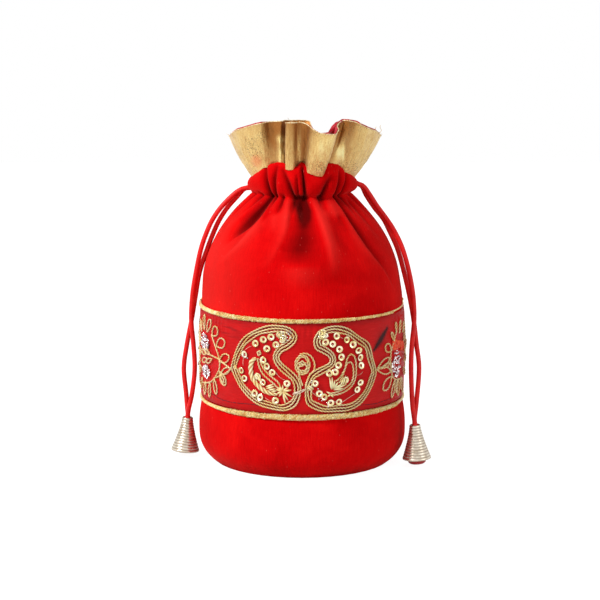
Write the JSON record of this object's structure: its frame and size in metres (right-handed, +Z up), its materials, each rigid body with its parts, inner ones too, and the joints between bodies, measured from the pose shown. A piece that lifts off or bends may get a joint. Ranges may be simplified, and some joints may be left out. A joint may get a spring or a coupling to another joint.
{
  "type": "potli bag",
  "caption": "Red velvet potli bag with a gold tissue frill, an embroidered band, two drawstrings and two ribbed bells.",
  "frame": {"origin": "centre of the base panel's underside, on the surface that the bag stands on", "axes": "+Z up through the gathered neck, front towards -Y, the drawstrings leave at -X and +X"},
  "size_m": [0.162, 0.1289, 0.2132],
  "materials": {
    "velvet": "matte",
    "silk": "satin",
    "satin": "satin",
    "tissue": "satin",
    "gold_cord": "satin",
    "silver_beads": "gloss",
    "cord": "satin",
    "bell_metal": "polished",
    "stopper": "matte"
  },
  "bodies": {
    "root": {"base_panel": "velvet", "velvet_wall": "velvet", "lining": "satin", "gold_frill": "tissue", "band": "silk", "band_bottom_piping": "gold_cord", "band_top_piping": "gold_cord", "paisley_1": "gold_cord", "paisley_2": "gold_cord", "paisley_3": "gold_cord", "paisley_4": "gold_cord", "paisley_5": "gold_cord", "paisley_6": "gold_cord", "paisley_heart_1": "gold_cord", "paisley_heart_2": "gold_cord", "paisley_heart_3": "gold_cord", "paisley_heart_4": "gold_cord", "paisley_heart_5": "gold_cord", "paisley_heart_6": "gold_cord", "rosette_1": "gold_cord", "rosette_2": "gold_cord", "rosette_3": "gold_cord", "flower_1": "silver_beads", "flower_2": "silver_beads", "drawstring_left": "cord", "drawstring_right": "cord", "bell_left": "bell_metal", "bell_right": "bell_metal", "stopper_left": "stopper", "stopper_right": "stopper"}
  },
  "joints": []
}
